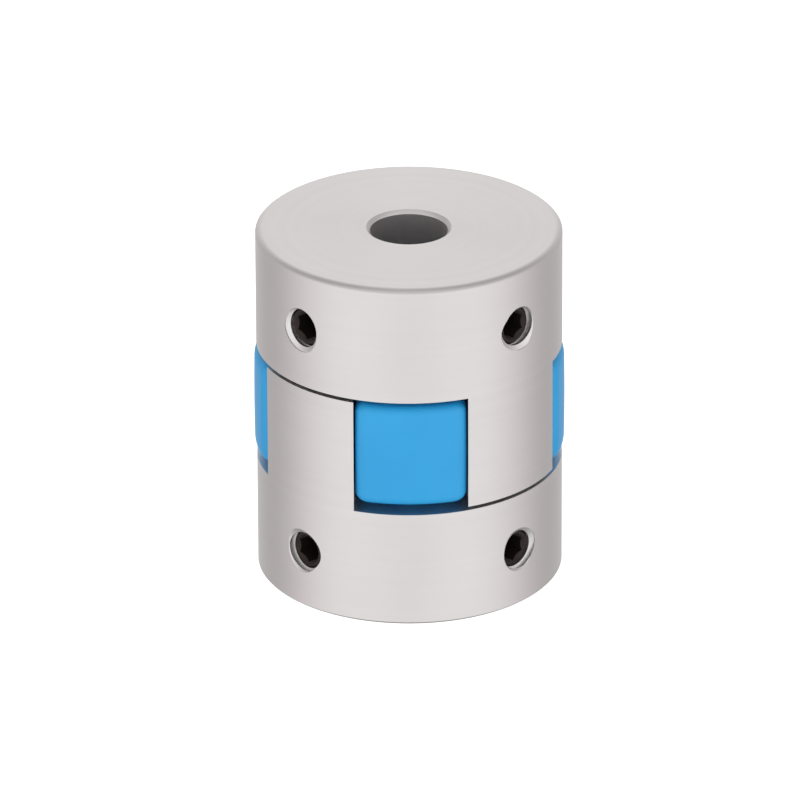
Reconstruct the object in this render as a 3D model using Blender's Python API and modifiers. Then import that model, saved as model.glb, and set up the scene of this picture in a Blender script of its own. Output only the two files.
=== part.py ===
"""Jaw coupling: two equal set-screw hubs, a four-legged elastic spider and four set screws.

Metres, +Z up along the shaft axis. The origin is the centre of the lower end face.
Angles go round the axis from the front (-Y) towards +X. The spider's legs stand at 0, 90,
180 and 270 degrees, the lower hub's two jaws at -45 and 135, the upper hub's at 45 and -135.
"""
import math

import bmesh
import bpy
from mathutils import Matrix, Vector

MM = 0.001

# Overall size of a 25 x 30 mm coupling.
OUTER_R = 12.5 * MM
LENGTH = 30.0 * MM

# Hub.
BODY_LENGTH = 10.0 * MM
BORE_R = 3.175 * MM                      # for a quarter inch shaft
END_CHAMFER = 0.35 * MM
BORE_CHAMFER = 0.3 * MM
JAW_COUNT = 2
JAW_ANGLE = math.radians(-45.0)          # the lower hub's first jaw
JAW_TIP_GAP = 0.3 * MM                   # to the other hub's inner face
JAW_INNER_R = 5.9 * MM

# Pocket between neighbouring jaws, which holds one leg.
LEG_COUNT = 4
POCKET_HALF_ANGLE = math.radians(21.8)   # at the outer radius
FLANK_R = 10.3 * MM                      # hollow of a jaw's flank
FLANK_CREST = 11.0 * MM                  # radius at which the pocket is widest

# Spider.
LEG_PROUD = 0.2 * MM
LEG_SIDE_GAP = 0.14 * MM
LEG_BOTTOM = 10.75 * MM
LEG_TOP = 19.5 * MM
RING_OUTER_R = 5.5 * MM
RING_HOLE_R = 4.0 * MM
SPIDER_ROUNDING = 0.6 * MM
NUB_R = 1.0 * MM
NUB_PITCH_R = 8.0 * MM
NUB_PROUD = 0.3 * MM                     # past both ends of its leg

# M4 x 8 set screws with a cup point, plain at the thread's effective diameter.
SCREW_ANGLES = {"left": math.radians(-45.0), "right": math.radians(45.0)}
SCREW_FROM_END = 5.0 * MM
SCREW_HOLE_R = 1.80 * MM
SCREW_R = 1.75 * MM
SCREW_LENGTH = 8.0 * MM
SCREW_PITCH = 0.7 * MM
SCREW_TIP_R = BORE_R + SCREW_PITCH       # one turn short of the shaft
SCREW_END_CHAMFER = 0.3 * MM
CUP_R = 0.95 * MM
CUP_DEPTH = 0.5 * MM
POINT_R = 1.2 * MM
SOCKET_ACROSS_FLATS = 2.0 * MM
SOCKET_DEPTH = 2.5 * MM

# Facets.
TURNED_STEPS = 72
SCREW_STEPS = 32
ARC_STEP = math.radians(5.0)
SHARP_ANGLE = math.radians(30.0)
MERGE = 0.00001
OVERCUT = 1.0 * MM                       # how far a cutter runs past what it cuts


def clear_scene():
    for obj in list(bpy.data.objects):
        bpy.data.objects.remove(obj, do_unlink=True)


def new_collection(name):
    collection = bpy.data.collections.new(name)
    bpy.context.scene.collection.children.link(collection)
    return collection


def principled(name, colour, roughness, metallic):
    material = bpy.data.materials.new(name)
    material.use_nodes = True
    shader = material.node_tree.nodes["Principled BSDF"]
    shader.inputs["Base Color"].default_value = (*colour, 1.0)
    shader.inputs["Roughness"].default_value = roughness
    shader.inputs["Metallic"].default_value = metallic
    return material


def place(name, mesh, collection, matrix=Matrix(), material=None):
    obj = bpy.data.objects.new(name, mesh)
    obj.matrix_world = matrix
    collection.objects.link(obj)
    if material:
        mesh.materials.clear()
        mesh.materials.append(material)
    return obj


def hide_cutter(obj):
    obj.hide_render = True
    obj.display_type = "WIRE"
    return obj


def finished_mesh(obj):
    """The object's mesh with its modifiers applied, smooth except at its real edges."""
    bpy.context.view_layer.update()
    evaluated = obj.evaluated_get(bpy.context.evaluated_depsgraph_get())
    mesh = bpy.data.meshes.new_from_object(evaluated)
    mesh.shade_smooth()
    mesh.set_sharp_from_angle(angle=SHARP_ANGLE)
    bpy.data.objects.remove(obj, do_unlink=True)
    return mesh


def turned(name, profile, steps, collection):
    """A profile of (radius, height) points turned about Z; it runs down its outer side."""
    mesh = bpy.data.meshes.new(name)
    points = [(radius, 0.0, height) for radius, height in profile]
    closed = profile[0][0] > 0.0
    edges = [(i, i + 1) for i in range(len(points) - 1)]
    if closed:
        edges.append((len(points) - 1, 0))
    mesh.from_pydata(points, edges, [])
    obj = place(name, mesh, collection)
    screw = obj.modifiers.new("turn", "SCREW")
    screw.axis = "Z"
    screw.steps = steps
    screw.render_steps = steps
    screw.use_merge_vertices = True
    screw.merge_threshold = MERGE
    return obj


def prism(name, outlines, bottom, top, collection):
    """A solid with flat ends between two heights; the first outline is its edge, the rest holes."""
    curve = bpy.data.curves.new(name, "CURVE")
    curve.dimensions = "2D"
    curve.fill_mode = "BOTH"
    curve.extrude = (top - bottom) / 2
    for outline in outlines:
        spline = curve.splines.new("POLY")
        spline.points.add(len(outline) - 1)
        for point, (x, y) in zip(spline.points, outline):
            point.co = (x, y, 0.0, 1.0)
        spline.use_cyclic_u = True
    drawn = bpy.data.objects.new(name, curve)
    drawn.location.z = (top + bottom) / 2
    collection.objects.link(drawn)
    bpy.context.view_layer.update()
    evaluated = drawn.evaluated_get(bpy.context.evaluated_depsgraph_get())
    mesh = bpy.data.meshes.new_from_object(evaluated)
    matrix = drawn.matrix_world.copy()
    bpy.data.objects.remove(drawn, do_unlink=True)
    shape = bmesh.new()
    shape.from_mesh(mesh)
    bmesh.ops.remove_doubles(shape, verts=shape.verts, dist=MERGE)
    bmesh.ops.recalc_face_normals(shape, faces=shape.faces)
    shape.to_mesh(mesh)
    shape.free()
    return place(name, mesh, collection, matrix)


def boolean(obj, tool, operation):
    modifier = obj.modifiers.new(tool.name, "BOOLEAN")
    modifier.operation = operation
    modifier.solver = "EXACT"
    modifier.object = tool


def polar(radius, angle):
    """The plan point at a radius and an angle from the front."""
    return (radius * math.sin(angle), -radius * math.cos(angle))


def turned_about(angle, across, out):
    """The plan point `out` along the direction at an angle, and `across` it towards larger angles."""
    return (out * math.sin(angle) + across * math.cos(angle),
            -out * math.cos(angle) + across * math.sin(angle))


def arc_angles(start, end):
    """Even angles from start to end, both included, no further apart than a facet."""
    count = max(2, math.ceil(abs(end - start) / ARC_STEP))
    return [start + (end - start) * i / count for i in range(count + 1)]


def flank_centre():
    """Centre of the flank arc on a leg's positive side, as (across, out)."""
    edge_across = OUTER_R * math.sin(POCKET_HALF_ANGLE)
    edge_out = OUTER_R * math.cos(POCKET_HALF_ANGLE)
    return (edge_across - math.sqrt(FLANK_R ** 2 - (edge_out - FLANK_CREST) ** 2), FLANK_CREST)


def flank_angle_at(flank_r, radius):
    """Angle along a flank arc of radius flank_r at which it is `radius` from the axis."""
    across, out = flank_centre()
    reach = math.hypot(across, out)
    swing = math.acos((flank_r ** 2 + reach ** 2 - radius ** 2) / (2 * flank_r * reach))
    return math.atan2(-out, -across) + swing


def flank(flank_r, inner_r, outer_r):
    """Points (across, out) of a leg's positive flank, from the inner radius to the outer one."""
    across, out = flank_centre()
    angles = arc_angles(flank_angle_at(flank_r, inner_r), flank_angle_at(flank_r, outer_r))
    return [(across + flank_r * math.cos(a), out + flank_r * math.sin(a)) for a in angles]


def jaw_gap_outline():
    """Everything beside and inside the two jaws, as one outline that runs past the hub."""
    far_r = OUTER_R + OVERCUT
    side = flank(FLANK_R, JAW_INNER_R, far_r)
    half_pitch = math.pi / LEG_COUNT
    outline = []
    for jaw in range(JAW_COUNT):
        centre = JAW_ANGLE + jaw * 2 * math.pi / JAW_COUNT
        leg_before = centre - half_pitch
        leg_after = centre + half_pitch
        before = [turned_about(leg_before, across, out) for across, out in side]
        after = [turned_about(leg_after, -across, out) for across, out in side]
        inner_half = half_pitch - math.atan2(*side[0])
        inner = [polar(JAW_INNER_R, a) for a in arc_angles(centre - inner_half, centre + inner_half)]
        outline += before[::-1] + inner[1:-1] + after
        outer_half = math.atan2(*side[-1])
        next_leg = leg_after + math.pi / JAW_COUNT
        outline += [polar(far_r * 1.1, a) for a in arc_angles(leg_after - outer_half, next_leg + outer_half)]
    return outline


def make_hub_mesh(cutters):
    """One hub with its end face at z = 0 and its jaws upwards; both hubs are this part."""
    tip = LENGTH - BODY_LENGTH - JAW_TIP_GAP
    profile = [
        (BORE_R, tip),
        (OUTER_R, tip),
        (OUTER_R, END_CHAMFER),
        (OUTER_R - END_CHAMFER, 0.0),
        (BORE_R + BORE_CHAMFER, 0.0),
        (BORE_R, BORE_CHAMFER),
    ]
    hub = turned("hub_blank", profile, TURNED_STEPS, cutters)
    gap = prism("jaw_gap_cutter", [jaw_gap_outline()], BODY_LENGTH, tip + OVERCUT, cutters)
    boolean(hub, hide_cutter(gap), "DIFFERENCE")
    for side, angle in SCREW_ANGLES.items():
        hole = drill("screw_hole_cutter_" + side, angle, cutters)
        boolean(hub, hide_cutter(hole), "DIFFERENCE")
    return finished_mesh(hub)


def drill(name, angle, cutters):
    """A radial drill at the set screws' height, from inside the bore to past the hub."""
    length = OUTER_R + OVERCUT
    shape = bmesh.new()
    bmesh.ops.create_cone(shape, cap_ends=True, segments=SCREW_STEPS, radius1=SCREW_HOLE_R,
                          radius2=SCREW_HOLE_R, depth=length)
    mesh = bpy.data.meshes.new(name)
    shape.to_mesh(mesh)
    shape.free()
    return place(name, mesh, cutters, radial_matrix(angle, length / 2, SCREW_FROM_END))


def radial_matrix(angle, radius, height):
    """Local +Z points outwards at an angle from the front; the origin is at a radius and height."""
    x, y = polar(radius, angle)
    aim = Vector((*polar(1.0, angle), 0.0)).to_track_quat("Z", "Y").to_matrix().to_4x4()
    return Matrix.Translation((x, y, height)) @ aim


def spider_outline():
    """Ring and legs in plan, anticlockwise from above."""
    leg_r = OUTER_R + LEG_PROUD
    side = flank(FLANK_R - LEG_SIDE_GAP, RING_OUTER_R, leg_r)
    root_half = math.atan2(*side[0])
    end_half = math.atan2(*side[-1])
    pitch = 2 * math.pi / LEG_COUNT
    outline = []
    for leg in range(LEG_COUNT):
        angle = leg * pitch
        end = [polar(leg_r, a) for a in arc_angles(angle - end_half, angle + end_half)]
        web = [polar(RING_OUTER_R, a) for a in arc_angles(angle + root_half, angle + pitch - root_half)]
        outline += [turned_about(angle, -across, out) for across, out in side]
        outline += end[1:-1]
        outline += [turned_about(angle, across, out) for across, out in side[::-1]]
        outline += web[1:-1]
    return outline


def make_spider(collection, cutters, material):
    hole = [polar(RING_HOLE_R, a) for a in arc_angles(0.0, 2 * math.pi)[:-1]]
    spider = prism("spider_blank", [spider_outline(), hole], LEG_BOTTOM, LEG_TOP, cutters)
    bevel = spider.modifiers.new("moulded edges", "BEVEL")
    bevel.width = SPIDER_ROUNDING
    bevel.segments = 2
    bevel.limit_method = "ANGLE"
    bevel.angle_limit = SHARP_ANGLE
    boolean(spider, hide_cutter(make_nubs(cutters)), "UNION")
    middle = Matrix.Translation((0.0, 0.0, LENGTH / 2))
    bottom_to_middle = Matrix.Translation((0.0, 0.0, (LEG_BOTTOM + LEG_TOP - LENGTH) / 2))
    mesh = finished_mesh(spider)
    mesh.transform(bottom_to_middle)
    place("spider", mesh, collection, middle, material)


def make_nubs(cutters):
    """Spacers that keep the legs off both hubs, one right through each leg."""
    bottom = LEG_BOTTOM - NUB_PROUD
    top = LEG_TOP + NUB_PROUD
    shape = bmesh.new()
    for leg in range(LEG_COUNT):
        x, y = polar(NUB_PITCH_R, leg * 2 * math.pi / LEG_COUNT)
        bmesh.ops.create_cone(shape, cap_ends=True, segments=SCREW_STEPS // 2, radius1=NUB_R,
                              radius2=NUB_R, depth=top - bottom,
                              matrix=Matrix.Translation((x, y, (top + bottom) / 2)))
    mesh = bpy.data.meshes.new("nubs")
    shape.to_mesh(mesh)
    shape.free()
    return place("nubs", mesh, cutters)


def make_screw_mesh(cutters):
    """A set screw along +Z, with its cup point at z = 0 and its hexagon socket at the top."""
    profile = [
        (0.0, SCREW_LENGTH),
        (SCREW_R - SCREW_END_CHAMFER, SCREW_LENGTH),
        (SCREW_R, SCREW_LENGTH - SCREW_END_CHAMFER),
        (SCREW_R, SCREW_R - POINT_R),
        (POINT_R, 0.0),
        (CUP_R, 0.0),
        (0.0, CUP_DEPTH),
    ]
    screw = turned("screw_blank", profile, SCREW_STEPS, cutters)
    shape = bmesh.new()
    corner_r = SOCKET_ACROSS_FLATS / math.sqrt(3)
    depth = SOCKET_DEPTH + OVERCUT
    bmesh.ops.create_cone(shape, cap_ends=True, segments=6, radius1=corner_r, radius2=corner_r, depth=depth)
    mesh = bpy.data.meshes.new("socket_cutter")
    shape.to_mesh(mesh)
    shape.free()
    height = SCREW_LENGTH - SOCKET_DEPTH + depth / 2
    socket = place("socket_cutter", mesh, cutters, Matrix.Translation((0.0, 0.0, height)))
    boolean(screw, hide_cutter(socket), "DIFFERENCE")
    return finished_mesh(screw)


def main():
    clear_scene()
    parts = new_collection("jaw_coupling")
    cutters = new_collection("cutters")
    aluminium = principled("satin_aluminium", (0.72, 0.71, 0.70), 0.38, 1.0)
    polyurethane = principled("blue_polyurethane", (0.045, 0.36, 0.75), 0.45, 0.0)
    black_steel = principled("black_steel", (0.02, 0.018, 0.016), 0.4, 0.8)

    hub_mesh = make_hub_mesh(cutters)
    turned_over = Matrix.Translation((0.0, 0.0, LENGTH)) @ Matrix.Rotation(math.pi, 4, "Y")
    hubs = {"lower": Matrix(), "upper": turned_over}
    for level, matrix in hubs.items():
        place(level + "_hub", hub_mesh, parts, matrix, aluminium)

    make_spider(parts, cutters, polyurethane)

    screw_mesh = make_screw_mesh(cutters)
    for level, matrix in hubs.items():
        mirrored = matrix[0][0]          # -1 where the hub is turned over, so left and right swap
        for side, angle in SCREW_ANGLES.items():
            hole = radial_matrix(mirrored * angle, SCREW_TIP_R, SCREW_FROM_END)
            place(level + "_set_screw_" + side, screw_mesh, parts, matrix @ hole, black_steel)


main()
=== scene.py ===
"""Looks of the jaw coupling: turned hubs with threaded holes, a moulded spider and socket set screws.

Lengths are in metres, in the part's own frame: +Z along the shaft, the front towards -Y.
Angles go round the axis from the front towards +X, as in the CAD model.
"""
import math

import bmesh
import bpy
from mathutils import Matrix, Vector


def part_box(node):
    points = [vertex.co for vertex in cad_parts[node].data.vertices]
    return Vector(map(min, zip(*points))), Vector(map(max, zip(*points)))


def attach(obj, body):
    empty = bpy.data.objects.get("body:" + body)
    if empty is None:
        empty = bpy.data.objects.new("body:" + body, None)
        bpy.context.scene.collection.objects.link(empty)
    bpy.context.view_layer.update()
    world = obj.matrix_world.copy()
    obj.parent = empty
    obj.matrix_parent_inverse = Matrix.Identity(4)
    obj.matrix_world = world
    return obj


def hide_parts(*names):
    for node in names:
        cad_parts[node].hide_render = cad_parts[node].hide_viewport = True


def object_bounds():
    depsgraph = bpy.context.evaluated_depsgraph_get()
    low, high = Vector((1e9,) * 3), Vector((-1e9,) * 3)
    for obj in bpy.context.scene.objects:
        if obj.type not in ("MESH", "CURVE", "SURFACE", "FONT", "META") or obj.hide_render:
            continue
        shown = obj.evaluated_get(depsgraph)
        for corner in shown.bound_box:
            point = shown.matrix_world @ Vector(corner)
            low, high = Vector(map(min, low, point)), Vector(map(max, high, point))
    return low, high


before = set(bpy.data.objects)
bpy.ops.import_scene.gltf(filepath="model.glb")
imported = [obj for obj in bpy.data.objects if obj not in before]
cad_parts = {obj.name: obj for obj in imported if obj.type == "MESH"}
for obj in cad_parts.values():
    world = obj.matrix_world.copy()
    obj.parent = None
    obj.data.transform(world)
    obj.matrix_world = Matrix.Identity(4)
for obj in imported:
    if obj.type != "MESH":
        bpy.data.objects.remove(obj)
CAD_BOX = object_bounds()

MM = 0.001
HUB_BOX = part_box("lower_hub")
SPIDER_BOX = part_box("spider")

# Hubs. Both are the same part; the upper one is turned over about Y.
OUTER_R = HUB_BOX[1].x
JAW_TIP = HUB_BOX[1].z
LENGTH = CAD_BOX[1].z
BODY_LENGTH = 10.0 * MM
BORE_R = 3.175 * MM
BORE_CHAMFER = 0.3 * MM
JAW_INNER_R = 5.9 * MM
JAW_ANGLE = math.radians(-45.0)
JAW_COUNT = 2
RIM_R = 0.75 * MM                        # the end face curves down to its rim
RIM_SLOPE = math.radians(55.0)           # and is this steep there
EDGE_BREAK = 0.07 * MM                   # deburred edges of the jaws
TURNED_OVER = Matrix.Translation((0.0, 0.0, LENGTH)) @ Matrix.Rotation(math.pi, 4, "Y")

# Leg pocket between two jaws.
LEG_COUNT = 4
POCKET_HALF_ANGLE = math.radians(21.8)
FLANK_R = 10.3 * MM
FLANK_CREST = 11.0 * MM

# Spider.
LEG_R = SPIDER_BOX[1].x
NUB_BOTTOM = SPIDER_BOX[0].z
NUB_TOP = SPIDER_BOX[1].z
LEG_BOTTOM = 10.75 * MM
LEG_TOP = 19.5 * MM
LEG_SIDE_GAP = 0.14 * MM
RING_OUTER_R = 5.5 * MM
RING_HOLE_R = 4.0 * MM
RING_LIP = 0.5 * MM                      # rounding of the hole's edges
ROOT_FILLET = 0.5 * MM
TIP_FILLET = 1.3 * MM
EDGE_ROUNDING = 0.8 * MM
CROWN = 0.05 * MM                        # how much slimmer the legs are at their ends than midway
NUB_R = 1.0 * MM
NUB_DOME = 0.25 * MM                     # how far a spacer's end face domes up
NUB_PITCH_R = 8.0 * MM

# Set screws and their threads.
SCREW_FROM_END = 5.0 * MM
SCREW_LENGTH = 8.0 * MM
PITCH = 0.7 * MM
SCREW_TIP_R = BORE_R + PITCH
SCREW_ANGLES = {"left": math.radians(-45.0), "right": math.radians(45.0)}
SCREW_CREST_R = 1.95 * MM
SCREW_ROOT_R = 1.53 * MM
SCREW_END_R = 1.45 * MM
POINT_R = 1.15 * MM
HOLE_CREST_R = 2.0 * MM                  # major radius, cut into the hub
HOLE_ROOT_R = 1.62 * MM
HOLE_MOUTH_R = 1.8 * MM
CUP_R = 0.95 * MM
CUP_DEPTH = 0.5 * MM
SOCKET_ACROSS_FLATS = 2.0 * MM
SOCKET_DEPTH = 2.5 * MM
SOCKET_LEAD_IN = 1.08                    # lead-in cone's radius at the mouth, over the socket's corner radius

# Fineness.
TURNED_STEPS = 300                       # a facet line stays 0.04 mm or more from a jaw's edge
RING_HOLE_STEPS = 144
BORED_STEPS = 48
NUB_STEPS = 32
THREAD_STEPS = 64
ROWS_PER_TURN = 16
ARC_STEP = math.radians(1.25)
RIM_STEP = math.radians(6.0)
LIP_STEP = math.radians(10.0)
ROUNDING_ROWS = 6                        # rows in a quarter turn of the spider's roundings
SHARP_ANGLE = math.radians(32.0)
WELD = 0.002 * MM                        # closer than this counts as the same place

# Colours, linear.
HUB_DARK = (0.78, 0.765, 0.755)
HUB_LIGHT = (0.86, 0.845, 0.835)
BLUE_DEEP = (0.019, 0.405, 0.84)
BLUE_LIGHT = (0.028, 0.47, 0.92)
OXIDE_DARK = (0.036, 0.026, 0.022)
OXIDE_WORN = (0.12, 0.11, 0.1)

# Studio: colour of the surroundings by degrees from the front, and its share by degrees from straight up.
STUDIO_ROUND = (
    (0.0, (0.78, 0.745, 0.77)),
    (45.0, (1.37, 1.275, 1.3)),
    (90.0, (0.68, 0.645, 0.65)),
    (130.0, (0.22, 0.21, 0.205)),
    (180.0, (1.17, 1.145, 1.16)),
)
STUDIO_DOWN = (
    (0.0, 0.66),
    (20.0, 0.66),
    (38.0, 0.56),
    (56.0, 1.03),
    (90.0, 1.0),
    (130.0, 0.95),
    (155.0, 0.25),
    (180.0, 0.2),
)
TABLE_HALF = 3.0                         # half the table's side
TABLE_DROP = 0.01 * MM                   # just below the lower end face
TABLE_WHITE = (0.9, 0.9, 0.9)
TABLE_GLOW = 0.85
SHADE_GREY = (0.05, 0.05, 0.05)
SHADE_THICKNESS = 0.1 * MM               # and the gap between the disc and the bore

# Camera.
CAMERA_AZIMUTH = math.radians(-0.45)
CAMERA_ELEVATION = math.radians(25.25)
CAMERA_ROLL = math.radians(-0.23)
CAMERA_DISTANCE = 900.0 * MM
LENS = 495.0
AIM_ACROSS = -0.77 * MM
AIM_UP = -0.51 * MM


# ---------------------------------------------------------------- plan geometry

def polar(radius, angle):
    """The plan point at a radius and an angle from the front."""
    return (radius * math.sin(angle), -radius * math.cos(angle))


def about(angle, across, out):
    """The plan point `out` along a direction and `across` it, towards larger angles."""
    return (out * math.sin(angle) + across * math.cos(angle),
            -out * math.cos(angle) + across * math.sin(angle))


def arc_angles(start, end, step=ARC_STEP):
    """Even angles from start to end, no further apart than a step."""
    count = max(2, math.ceil(abs(end - start) / step))
    return [start + (end - start) * i / count for i in range(count + 1)]


def arc(centre, radius, start, end, step=ARC_STEP):
    """Points along an arc about a centre."""
    return [(centre[0] + radius * math.cos(a), centre[1] + radius * math.sin(a))
            for a in arc_angles(start, end, step)]


def circles_meet(centre_a, radius_a, centre_b, radius_b):
    """The point where two circles meet, on the left of the way from centre a to centre b."""
    a, b = Vector(centre_a), Vector(centre_b)
    way = b - a
    along = (radius_a ** 2 - radius_b ** 2 + way.length_squared) / (2 * way.length)
    aside = math.sqrt(radius_a ** 2 - along ** 2)
    unit = way.normalized()
    return a + unit * along + Vector((-unit.y, unit.x)) * aside


def direction(centre, point):
    """The angle in which a point lies from a centre."""
    return math.atan2(point[1] - centre[1], point[0] - centre[0])


def flank_centre():
    """Centre of the flank arc on a leg's positive side, as (across, out)."""
    edge_across = OUTER_R * math.sin(POCKET_HALF_ANGLE)
    edge_out = OUTER_R * math.cos(POCKET_HALF_ANGLE)
    return (edge_across - math.sqrt(FLANK_R ** 2 - (edge_out - FLANK_CREST) ** 2), FLANK_CREST)


# ---------------------------------------------------------------- mesh tools

def mesh_from(shape, name):
    """The bmesh as a mesh with its faces turned outwards; the bmesh itself goes."""
    mesh = bpy.data.meshes.new(name)
    bmesh.ops.recalc_face_normals(shape, faces=shape.faces)
    shape.to_mesh(mesh)
    shape.free()
    return mesh


def show(name, mesh, matrix=Matrix()):
    """A mesh as an object in the scene."""
    obj = bpy.data.objects.new(name, mesh)
    bpy.context.scene.collection.objects.link(obj)
    obj.matrix_world = matrix
    return obj


def applied(obj):
    """The object's mesh with its modifiers in it; the object itself goes."""
    bpy.context.view_layer.update()
    evaluated = obj.evaluated_get(bpy.context.evaluated_depsgraph_get())
    mesh = bpy.data.meshes.new_from_object(evaluated)
    bpy.data.objects.remove(obj, do_unlink=True)
    return mesh


def combined(mesh, tools, operation):
    """The mesh after Booleans with a list of (mesh, matrix) tools."""
    obj = show("work", mesh)
    shown = []
    for tool, matrix in tools:
        shown.append(show("tool", tool, matrix))
        modifier = obj.modifiers.new("tool", "BOOLEAN")
        modifier.operation = operation
        modifier.solver = "EXACT"
        modifier.object = shown[-1]
    result = applied(obj)
    for tool in shown:
        bpy.data.objects.remove(tool, do_unlink=True)
    return result


def rounded(mesh, width, segments=3):
    """Sharp edges rounded off."""
    obj = show("work", mesh)
    weld = obj.modifiers.new("weld", "WELD")
    weld.merge_threshold = WELD
    bevel = obj.modifiers.new("edges", "BEVEL")
    bevel.width = width
    bevel.segments = segments
    bevel.limit_method = "ANGLE"
    bevel.angle_limit = SHARP_ANGLE
    return applied(obj)


def smooth(mesh):
    """Smooth shading in which a large flat face keeps its own normal up to its rounded edges."""
    mesh.shade_smooth()
    mesh.set_sharp_from_angle(angle=SHARP_ANGLE)
    obj = show("work", mesh)
    weighted = obj.modifiers.new("normals", "WEIGHTED_NORMAL")
    weighted.keep_sharp = True
    return applied(obj)


def turned(name, profile, steps):
    """A closed solid from a profile of (radius, height) points; a radius of 0 is on the axis."""
    shape = bmesh.new()
    rings = []
    for radius, height in profile:
        count = steps if radius > 0.0 else 1
        points = [(*polar(radius, 2 * math.pi * i / steps), height) for i in range(count)]
        rings.append([shape.verts.new(point) for point in points])
    for ring, following in zip(rings, rings[1:] + rings[:1]):
        for i in range(steps):
            j = (i + 1) % steps
            corners = [ring[i % len(ring)], ring[j % len(ring)], following[j % len(following)],
                       following[i % len(following)]]
            corners = list(dict.fromkeys(corners))
            if len(corners) > 2:
                shape.faces.new(corners)
    return mesh_from(shape, name)


def prism(name, outline, bottom, top):
    """A closed solid with the same outline all the way up."""
    shape = bmesh.new()
    low = [shape.verts.new((x, y, bottom)) for x, y in outline]
    high = [shape.verts.new((x, y, top)) for x, y in outline]
    for i, vert in enumerate(low):
        j = (i + 1) % len(low)
        shape.faces.new((vert, low[j], high[j], high[i]))
    shape.faces.new(low[::-1])
    shape.faces.new(high)
    return mesh_from(shape, name)


def radial_matrix(angle, radius, height):
    """Local +Z points outwards at an angle from the front; the origin is at a radius and height."""
    x, y = polar(radius, angle)
    aim = Vector((*polar(1.0, angle), 0.0)).to_track_quat("Z", "Y").to_matrix().to_4x4()
    return Matrix.Translation((x, y, height)) @ aim


# ---------------------------------------------------------------- threads

def thread_radius(turn, root_r, crest_r):
    """Radius of a 60 degree thread at a fraction of a turn past its crest."""
    crest_half, root_half = 1 / 16, 1 / 8
    off = min(turn % 1.0, 1.0 - turn % 1.0)
    down = (off - crest_half) / (0.5 - root_half - crest_half)
    return crest_r + (root_r - crest_r) * min(max(down, 0.0), 1.0)


def threaded_rod(name, root_r, crest_r, bottom, top, trim):
    """A right-hand threaded rod along Z. trim(radius, height) shapes its ends."""
    shape = bmesh.new()
    row_height = PITCH / ROWS_PER_TURN
    first = math.floor((bottom - PITCH) / row_height) - 1
    last = math.ceil(top / row_height) + 1
    grid = {}
    for row in range(first, last + ROWS_PER_TURN + 1):
        for step in range(THREAD_STEPS):
            height = row_height * row + PITCH * step / THREAD_STEPS
            radius = trim(thread_radius(row / ROWS_PER_TURN, root_r, crest_r), height)
            angle = 2 * math.pi * step / THREAD_STEPS
            grid[row, step] = shape.verts.new((radius * math.cos(angle), radius * math.sin(angle), height))
    for row in range(first, last):
        for step in range(THREAD_STEPS):
            after = (row, step + 1)
            above = (row + 1, step + 1)
            if step + 1 == THREAD_STEPS:
                after = (row + ROWS_PER_TURN, 0)
                above = (row + ROWS_PER_TURN + 1, 0)
            shape.faces.new((grid[row, step], grid[after], grid[above], grid[row + 1, step]))
    loose = [vert for vert in shape.verts if not vert.link_faces]
    bmesh.ops.delete(shape, geom=loose, context="VERTS")
    for height, side in ((bottom, -1.0), (top, 1.0)):
        geometry = shape.verts[:] + shape.edges[:] + shape.faces[:]
        bmesh.ops.bisect_plane(shape, geom=geometry, dist=1e-8, plane_co=(0.0, 0.0, height),
                               plane_no=(0.0, 0.0, side), clear_outer=True)
    bmesh.ops.holes_fill(shape, edges=[edge for edge in shape.edges if edge.is_boundary])
    return mesh_from(shape, name)


def hole_tool():
    """What a tapped set screw hole takes out of a hub, in the screw's own frame."""
    surface = OUTER_R - SCREW_TIP_R

    def trim(radius, height):
        return max(radius, HOLE_MOUTH_R + height - surface)

    return threaded_rod("hole_tool", HOLE_ROOT_R, HOLE_CREST_R, -2 * PITCH, surface + PITCH, trim)


def set_screw_mesh():
    """A cup point set screw along +Z, its point at z = 0."""
    def trim(radius, height):
        return min(radius, POINT_R + max(height, 0.0), SCREW_END_R + max(SCREW_LENGTH - height, 0.0))

    rod = threaded_rod("set_screw", SCREW_ROOT_R, SCREW_CREST_R, 0.0, SCREW_LENGTH, trim)
    corner_r = SOCKET_ACROSS_FLATS / math.sqrt(3)
    floor = SCREW_LENGTH - SOCKET_DEPTH
    over = SCREW_LENGTH + PITCH
    mouth_r = corner_r * SOCKET_LEAD_IN
    socket = [(0.0, floor - corner_r / 3), (corner_r, floor), (corner_r, over), (0.0, over)]
    mouth = [(0.0, SCREW_LENGTH - mouth_r), (mouth_r + PITCH, over), (0.0, over)]
    cup = [(0.0, CUP_DEPTH), (0.0, -PITCH), (CUP_R * (1 + PITCH / CUP_DEPTH), -PITCH)]
    tools = [turned("socket", socket, 6), turned("socket_mouth", mouth, BORED_STEPS),
             turned("cup", cup, BORED_STEPS)]
    return smooth(combined(rod, [(tool, Matrix()) for tool in tools], "DIFFERENCE"))


# ---------------------------------------------------------------- hubs

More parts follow.
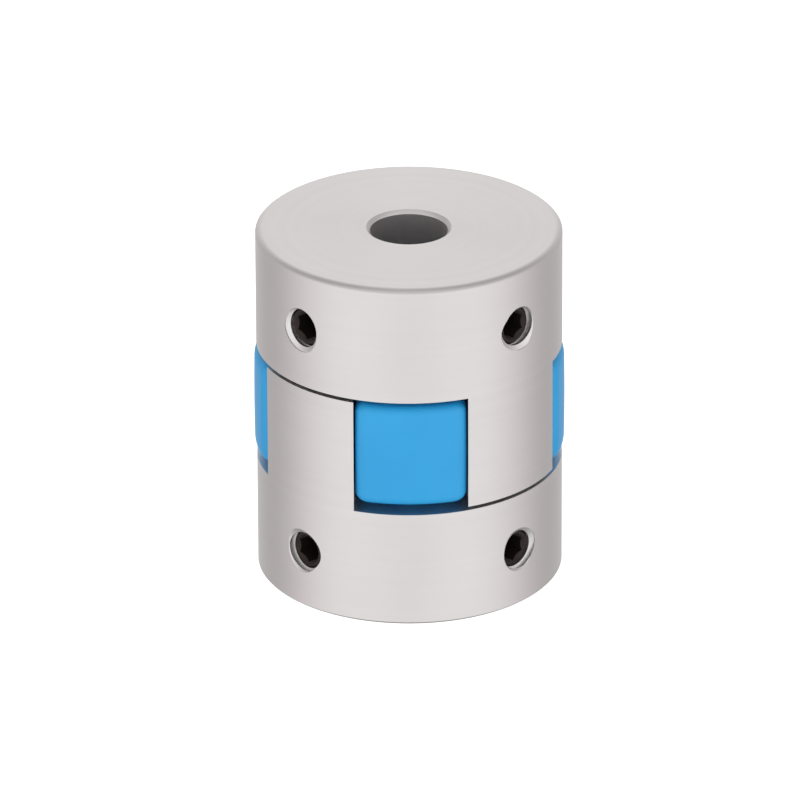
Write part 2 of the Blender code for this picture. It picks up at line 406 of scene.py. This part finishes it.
def jaw_gap_outline():
    """Everything beside and inside the two jaws, as one outline that runs past the hub."""
    far_r = OUTER_R + 1.0 * MM
    centre = flank_centre()
    axis = (0.0, 0.0)
    start = direction(centre, circles_meet(centre, FLANK_R, axis, JAW_INNER_R))
    end = direction(centre, circles_meet(centre, FLANK_R, axis, far_r))
    side = arc(centre, FLANK_R, start, end)
    half_pitch = math.pi / LEG_COUNT
    outline = []
    for jaw in range(JAW_COUNT):
        middle = JAW_ANGLE + jaw * 2 * math.pi / JAW_COUNT
        leg_before, leg_after = middle - half_pitch, middle + half_pitch
        inner_half = half_pitch - math.atan2(*side[0])
        inner = [polar(JAW_INNER_R, a) for a in arc_angles(middle - inner_half, middle + inner_half)]
        outline += [about(leg_before, across, out) for across, out in side[::-1]]
        outline += inner[1:-1]
        outline += [about(leg_after, -across, out) for across, out in side]
        outer_half = math.atan2(*side[-1])
        next_leg = leg_after + math.pi / JAW_COUNT
        outside = arc_angles(leg_after - outer_half, next_leg + outer_half)
        outline += [polar(far_r * 1.1, a) for a in outside]
    return outline


def true_round(mesh):
    """Exact radial normals on the turned outside, so that no facet or cut shows in the shine."""
    normals = [corner.vector.copy() for corner in mesh.corner_normals]
    for face in mesh.polygons:
        points = [mesh.vertices[i].co for i in face.vertices]
        if all(abs(math.hypot(point.x, point.y) - OUTER_R) < WELD for point in points):
            for loop in face.loop_indices:
                point = mesh.vertices[mesh.loops[loop].vertex_index].co
                normals[loop] = Vector((point.x, point.y, 0.0)).normalized()
    mesh.normals_split_custom_set(normals)
    return mesh


def rim():
    """Profile of the rolled rim, from the outside to the end face."""
    centre = (OUTER_R - RIM_R * math.sin(RIM_SLOPE), RIM_R)
    return arc(centre, RIM_R, RIM_SLOPE - math.pi / 2, -math.pi / 2, RIM_STEP)


def hub_mesh():
    """One hub with its end face at z = 0 and its jaws upwards."""
    profile = [(BORE_R, JAW_TIP), (OUTER_R, JAW_TIP)]
    profile += rim()
    profile += [(BORE_R + BORE_CHAMFER, 0.0), (BORE_R, BORE_CHAMFER)]
    blank = turned("hub", profile, TURNED_STEPS)
    gap = prism("jaw_gap", jaw_gap_outline(), BODY_LENGTH, JAW_TIP + 1.0 * MM)
    milled = rounded(combined(blank, [(gap, Matrix())], "DIFFERENCE"), EDGE_BREAK)
    places = [radial_matrix(angle, SCREW_TIP_R, SCREW_FROM_END) for angle in SCREW_ANGLES.values()]
    holes = [(hole_tool(), place) for place in places]
    return true_round(smooth(combined(milled, holes, "DIFFERENCE")))


# ---------------------------------------------------------------- spider

def spider_outline(inset):
    """Outline of the ring and legs, drawn in by an inset; its points always come in the same order."""
    axis = Vector((0.0, 0.0))
    flank = Vector(flank_centre())
    flank_r = FLANK_R - LEG_SIDE_GAP
    root = circles_meet(flank, flank_r + ROOT_FILLET, axis, RING_OUTER_R + ROOT_FILLET)
    tip = circles_meet(flank, flank_r - TIP_FILLET, axis, LEG_R - TIP_FILLET)
    web_half = math.pi / 2 - math.pi / LEG_COUNT
    half = arc(axis, RING_OUTER_R - inset, web_half, direction(axis, root))
    half += arc(root, ROOT_FILLET + inset, direction(root, axis), direction(root, flank) - 2 * math.pi)[1:]
    half += arc(flank, flank_r - inset, direction(flank, root), direction(flank, tip))[1:]
    half += arc(tip, TIP_FILLET - inset, direction(flank, tip), direction(axis, tip))[1:]
    half += arc(axis, LEG_R - inset, direction(axis, tip), math.pi / 2)[1:]
    outline = []
    for leg in range(LEG_COUNT):
        angle = leg * 2 * math.pi / LEG_COUNT
        outline += [about(angle, -across, out) for across, out in half[:-1]]
        outline += [about(angle, across, out) for across, out in half[:0:-1]]
    return outline


def spider_levels():
    """Heights from bottom to top, each with the inset that rounds the rims and crowns the sides."""
    middle, half = (LEG_BOTTOM + LEG_TOP) / 2, (LEG_TOP - LEG_BOTTOM) / 2
    lower = []
    for row in range(ROUNDING_ROWS + 1):
        turn = math.pi / 2 * row / ROUNDING_ROWS
        lower.append((half - EDGE_ROUNDING * (1 - math.cos(turn)), EDGE_ROUNDING * (1 - math.sin(turn))))
    straight = lower[-1][0]
    lower += [(straight * (1 - row / ROUNDING_ROWS), 0.0) for row in range(1, ROUNDING_ROWS + 1)]
    levels = [(middle - away, inset) for away, inset in lower]
    levels += [(middle + away, inset) for away, inset in lower[-2::-1]]
    return [(height, inset + CROWN * ((height - middle) / half) ** 2) for height, inset in levels]


def spider_mesh():
    """Legs on a ring, skinned level by level, with the spacers joined on and the hole cut."""
    shape = bmesh.new()
    rings = []
    for height, inset in spider_levels():
        rings.append([shape.verts.new((x, y, height)) for x, y in spider_outline(inset)])
    for low, high in zip(rings, rings[1:]):
        for i in range(len(low)):
            j = (i + 1) % len(low)
            shape.faces.new((low[i], low[j], high[j], high[i]))
    shape.faces.new(rings[0][::-1])
    shape.faces.new(rings[-1])
    body = combined(mesh_from(shape, "spider"), nubs(), "UNION")
    return smooth(combined(body, [(ring_hole(), Matrix())], "DIFFERENCE"))


def ring_hole():
    """What the ring's hole takes out of the spider, with flared ends that round its edges."""
    past = 1.0 * MM
    flare_r = RING_HOLE_R + RING_LIP
    flare_height = LEG_TOP + 0.02 * MM - RING_LIP      # its end crosses the leg's end face at a slope
    half = [(0.0, LEG_TOP + past), (flare_r, LEG_TOP + past)]
    half += arc((flare_r, flare_height), RING_LIP, math.pi / 2, math.pi, LIP_STEP)
    middle = (LEG_BOTTOM + LEG_TOP) / 2
    half += [(radius, 2 * middle - height) for radius, height in half[::-1]]
    return turned("ring_hole", half, RING_HOLE_STEPS)


def nubs():
    """Round-ended spacers right through the legs, as (mesh, matrix) tools."""
    profile = [(0.0, NUB_TOP)]
    for row in range(1, ROUNDING_ROWS + 1):
        turn = math.pi / 2 * row / ROUNDING_ROWS
        profile.append((NUB_R * math.sin(turn), NUB_TOP - NUB_DOME * (1 - math.cos(turn))))
    middle = (NUB_TOP + NUB_BOTTOM) / 2
    profile += [(radius, 2 * middle - height) for radius, height in profile[::-1]]
    pill = turned("nub", profile, NUB_STEPS)
    places = [polar(NUB_PITCH_R, leg * 2 * math.pi / LEG_COUNT) for leg in range(LEG_COUNT)]
    return [(pill, Matrix.Translation((x, y, 0.0))) for x, y in places]


# ---------------------------------------------------------------- materials

class Nodes:
    """A short way to write a node tree."""

    def __init__(self, owner):
        owner.use_nodes = True
        self.tree = owner.node_tree
        self.tree.nodes.clear()

    def add(self, kind, inputs=None, **settings):
        """A node with its settings; an input is a value or another node's output."""
        node = self.tree.nodes.new(kind)
        for name, value in settings.items():
            setattr(node, name, value)
        for name, value in (inputs or {}).items():
            if isinstance(value, bpy.types.NodeSocket):
                self.tree.links.new(value, node.inputs[name])
            else:
                node.inputs[name].default_value = value
        return node

    def math(self, operation, first, second=0.0):
        return self.add("ShaderNodeMath", {0: first, 1: second}, operation=operation).outputs[0]

    def noise(self, inputs, dimensions="3D"):
        return self.add("ShaderNodeTexNoise", inputs, noise_dimensions=dimensions).outputs["Fac"]

    def spread(self, value, low, high):
        """A 0 to 1 value spread over low to high."""
        node = self.add("ShaderNodeMapRange", {"Value": value, "To Min": low, "To Max": high})
        return node.outputs["Result"]

    def shades(self, factor, dark, light):
        node = self.add("ShaderNodeMix", {"Factor": factor, "A": (*dark, 1.0), "B": (*light, 1.0)},
                        data_type="RGBA")
        return node.outputs["Result"]


def object_coordinates(nodes):
    """Object coordinates, the distance from the shaft axis, and 1 where the surface faces along it."""
    coordinates = nodes.add("ShaderNodeTexCoord")
    split = nodes.add("ShaderNodeSeparateXYZ", {"Vector": coordinates.outputs["Object"]})
    x, y, z = split.outputs
    squares = nodes.math("ADD", nodes.math("MULTIPLY", x, x), nodes.math("MULTIPLY", y, y))
    radius = nodes.math("SQRT", squares)
    facing = nodes.add("ShaderNodeSeparateXYZ", {"Vector": coordinates.outputs["Normal"]})
    flat = nodes.math("GREATER_THAN", nodes.math("ABSOLUTE", facing.outputs["Z"]), 0.7)
    return coordinates.outputs["Object"], radius, z, flat


def anodised_aluminium():
    """Fine turned aluminium under a clear satin anodised layer."""
    material = bpy.data.materials.new("satin_anodised_aluminium")
    nodes = Nodes(material)
    position, radius, height, flat = object_coordinates(nodes)
    travel = nodes.add("ShaderNodeMix", {"Factor": flat, "A": height, "B": radius}, data_type="FLOAT")
    feed = travel.outputs["Result"]
    grooves = nodes.noise({"W": feed, "Scale": 14000.0, "Detail": 2.0}, "1D")
    passes = nodes.noise({"W": feed, "Scale": 1400.0, "Detail": 3.0}, "1D")
    grain = nodes.noise({"Vector": position, "Scale": 9000.0, "Detail": 3.0})
    cloud = nodes.noise({"Vector": position, "Scale": 160.0, "Detail": 4.0})
    tone = nodes.math("ADD", nodes.math("MULTIPLY", cloud, 0.6), nodes.math("MULTIPLY", passes, 0.4))
    colour = nodes.shades(tone, HUB_DARK, HUB_LIGHT)
    texture = nodes.math("ADD", nodes.math("MULTIPLY", grooves, 0.5), nodes.math("MULTIPLY", grain, 0.5))
    roughness = nodes.spread(texture, 0.34, 0.5)
    lines = nodes.add("ShaderNodeBump", {"Height": grooves, "Strength": 0.25, "Distance": 0.002 * MM})
    speckle = nodes.add("ShaderNodeBump", {"Height": grain, "Strength": 0.35, "Distance": 0.004 * MM,
                                           "Normal": lines.outputs["Normal"]})
    tangent = nodes.add("ShaderNodeTangent", direction_type="RADIAL", axis="Z")
    shader = nodes.add("ShaderNodeBsdfPrincipled", {
        "Base Color": colour, "Metallic": 1.0, "Roughness": roughness, "Anisotropic": 0.2,
        "Tangent": tangent.outputs["Tangent"], "Normal": speckle.outputs["Normal"],
    })
    nodes.add("ShaderNodeOutputMaterial", {"Surface": shader.outputs["BSDF"]})
    return material


def blue_polyurethane():
    """Moulded polyurethane: even blue, a little translucent, with a soft shine and a fine mould grain."""
    material = bpy.data.materials.new("blue_polyurethane")
    nodes = Nodes(material)
    position = nodes.add("ShaderNodeTexCoord").outputs["Object"]
    cloud = nodes.noise({"Vector": position, "Scale": 220.0, "Detail": 3.0})
    grain = nodes.noise({"Vector": position, "Scale": 5000.0, "Detail": 2.0})
    ripple = nodes.noise({"Vector": position, "Scale": 450.0, "Detail": 1.0})
    colour = nodes.shades(cloud, BLUE_DEEP, BLUE_LIGHT)
    flow = nodes.add("ShaderNodeBump", {"Height": ripple, "Strength": 0.3, "Distance": 0.05 * MM})
    fine = nodes.add("ShaderNodeBump", {"Height": grain, "Strength": 0.3, "Distance": 0.004 * MM,
                                        "Normal": flow.outputs["Normal"]})
    shader = nodes.add("ShaderNodeBsdfPrincipled", {
        "Base Color": colour, "Roughness": nodes.spread(grain, 0.36, 0.46), "IOR": 1.5,
        "Subsurface Weight": 0.12, "Subsurface Radius": (0.3, 0.6, 1.0), "Subsurface Scale": 1.0 * MM,
        "Normal": fine.outputs["Normal"],
    })
    nodes.add("ShaderNodeOutputMaterial", {"Surface": shader.outputs["BSDF"]})
    return material


def black_oxide():
    """Alloy steel blackened in a bath, slightly oily, with paler thread crests."""
    material = bpy.data.materials.new("black_oxide_steel")
    nodes = Nodes(material)
    position, radius, _, _ = object_coordinates(nodes)
    grain = nodes.noise({"Vector": position, "Scale": 6000.0, "Detail": 3.0})
    cloud = nodes.noise({"Vector": position, "Scale": 700.0, "Detail": 3.0})
    crest = nodes.add("ShaderNodeMapRange", {"Value": radius, "From Min": SCREW_CREST_R - 0.04 * MM,
                                             "From Max": SCREW_CREST_R, "To Max": 0.35})
    worn = nodes.math("MULTIPLY", crest.outputs["Result"], cloud)
    colour = nodes.shades(worn, OXIDE_DARK, OXIDE_WORN)
    fine = nodes.add("ShaderNodeBump", {"Height": grain, "Strength": 0.3, "Distance": 0.004 * MM})
    shader = nodes.add("ShaderNodeBsdfPrincipled", {
        "Base Color": colour, "Metallic": 0.6, "Roughness": nodes.spread(grain, 0.38, 0.55),
        "Normal": fine.outputs["Normal"],
    })
    nodes.add("ShaderNodeOutputMaterial", {"Surface": shader.outputs["BSDF"]})
    return material


# ---------------------------------------------------------------- studio

def ramp(nodes, angle, stops):
    """A colour that follows (degrees, colour) stops as an angle goes from 0 to 180 degrees."""
    node = nodes.add("ShaderNodeValToRGB", {"Fac": nodes.math("DIVIDE", angle, math.pi)})
    node.color_ramp.interpolation = "B_SPLINE"
    elements = node.color_ramp.elements
    while len(elements) < len(stops):
        elements.new(0.5)
    for element, (degrees, colour) in zip(elements, stops):
        element.position = degrees / 180.0
        element.color = (*colour, 1.0)
    return node.outputs["Color"]


def surroundings():
    """A pale studio all round, darker to the sides and overhead."""
    world = bpy.data.worlds.new("studio")
    nodes = Nodes(world)
    toward = nodes.add("ShaderNodeTexCoord").outputs["Generated"]
    split = nodes.add("ShaderNodeSeparateXYZ", {"Vector": toward})
    x, y, z = split.outputs
    from_front = nodes.math("ARCTAN2", nodes.math("ABSOLUTE", x), nodes.math("MULTIPLY", y, -1.0))
    from_zenith = nodes.math("ARCCOSINE", z)
    colour = ramp(nodes, from_front, STUDIO_ROUND)
    share = ramp(nodes, from_zenith, [(degrees, (level,) * 3) for degrees, level in STUDIO_DOWN])
    light = nodes.add("ShaderNodeMix", {"Factor": 1.0, "A": colour, "B": share},
                      data_type="RGBA", blend_type="MULTIPLY")
    background = nodes.add("ShaderNodeBackground", {"Color": light.outputs["Result"]})
    nodes.add("ShaderNodeOutputWorld", {"Surface": background.outputs["Background"]})
    bpy.context.scene.world = world


def floor():
    """A plain white table, seen by the camera from above; the surroundings light the part all round."""
    shape = bmesh.new()
    bmesh.ops.create_grid(shape, x_segments=1, y_segments=1, size=TABLE_HALF)
    material = bpy.data.materials.new("white_table")
    nodes = Nodes(material)
    matt = nodes.add("ShaderNodeBsdfDiffuse", {"Color": (*TABLE_WHITE, 1.0)})
    glow = nodes.add("ShaderNodeEmission", {"Strength": TABLE_GLOW})
    both = nodes.add("ShaderNodeAddShader", {0: matt.outputs["BSDF"], 1: glow.outputs["Emission"]})
    clear = nodes.add("ShaderNodeBsdfTransparent")
    below = nodes.add("ShaderNodeNewGeometry").outputs["Backfacing"]
    sides = nodes.add("ShaderNodeMixShader", {
        0: below, 1: both.outputs["Shader"], 2: clear.outputs["BSDF"],
    })
    nodes.add("ShaderNodeOutputMaterial", {"Surface": sides.outputs["Shader"]})
    mesh = mesh_from(shape, "table")
    mesh.materials.append(material)
    table = show("table", mesh, Matrix.Translation((0.0, 0.0, -TABLE_DROP)))
    table.visible_diffuse = False
    table.visible_glossy = False
    table.visible_shadow = False


def bore_shade():
    """A dark disc low in the lower bore that only light meets, as no light comes up through a table."""
    material = bpy.data.materials.new("bore_shade")
    nodes = Nodes(material)
    matt = nodes.add("ShaderNodeBsdfDiffuse", {"Color": (*SHADE_GREY, 1.0)})
    nodes.add("ShaderNodeOutputMaterial", {"Surface": matt.outputs["BSDF"]})
    radius = BORE_R - SHADE_THICKNESS
    profile = [(0.0, SHADE_THICKNESS), (radius, SHADE_THICKNESS), (radius, 0.0), (0.0, 0.0)]
    mesh = turned("bore_shade", profile, BORED_STEPS)
    mesh.materials.append(material)
    disc = show("bore_shade", mesh)
    disc.visible_camera = False


def camera():
    """The catalogue view: from above the front, with a long lens."""
    data = bpy.data.cameras.new("camera")
    data.sensor_width = 36.0
    data.lens = LENS
    data.clip_start = 0.01
    data.clip_end = 10.0
    eye = bpy.data.objects.new("camera", data)
    bpy.context.scene.collection.objects.link(eye)
    back = Vector((*polar(math.cos(CAMERA_ELEVATION), CAMERA_AZIMUTH), math.sin(CAMERA_ELEVATION)))
    turn = back.to_track_quat("Z", "Y").to_matrix() @ Matrix.Rotation(CAMERA_ROLL, 3, "Z")
    right, up = turn.col[0], turn.col[1]
    aim = Vector((0.0, 0.0, LENGTH / 2)) + right * AIM_ACROSS + up * AIM_UP
    eye.matrix_world = Matrix.Translation(aim + back * CAMERA_DISTANCE) @ turn.to_4x4()
    bpy.context.scene.camera = eye


# ---------------------------------------------------------------- the part

def finish_piece(obj, material, body, node):
    """A detailed piece gets its material, rides its body and stands for its CAD node."""
    obj.data.materials.clear()
    obj.data.materials.append(material)
    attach(obj, body)
    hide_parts(node)


def build():
    """Both hubs, their set screws and the spider, each in its CAD node's place."""
    aluminium = anodised_aluminium()
    polyurethane = blue_polyurethane()
    black_steel = black_oxide()
    hub = hub_mesh()
    screw = set_screw_mesh()
    for level, matrix in (("lower", Matrix()), ("upper", TURNED_OVER)):
        piece = show(level + "_turned_hub", hub, matrix)
        finish_piece(piece, aluminium, level + "_hub", level + "_hub")
        mirrored = matrix[0][0]
        for side, angle in SCREW_ANGLES.items():
            node = level + "_set_screw_" + side
            hole = radial_matrix(mirrored * angle, SCREW_TIP_R, SCREW_FROM_END)
            piece = show(level + "_threaded_screw_" + side, screw, matrix @ hole)
            finish_piece(piece, black_steel, node, node)
    piece = show("moulded_spider", spider_mesh())
    finish_piece(piece, polyurethane, "spider", "spider")


build()
surroundings()
floor()
bore_shade()
camera()
bpy.context.scene.view_settings.view_transform = "Standard"
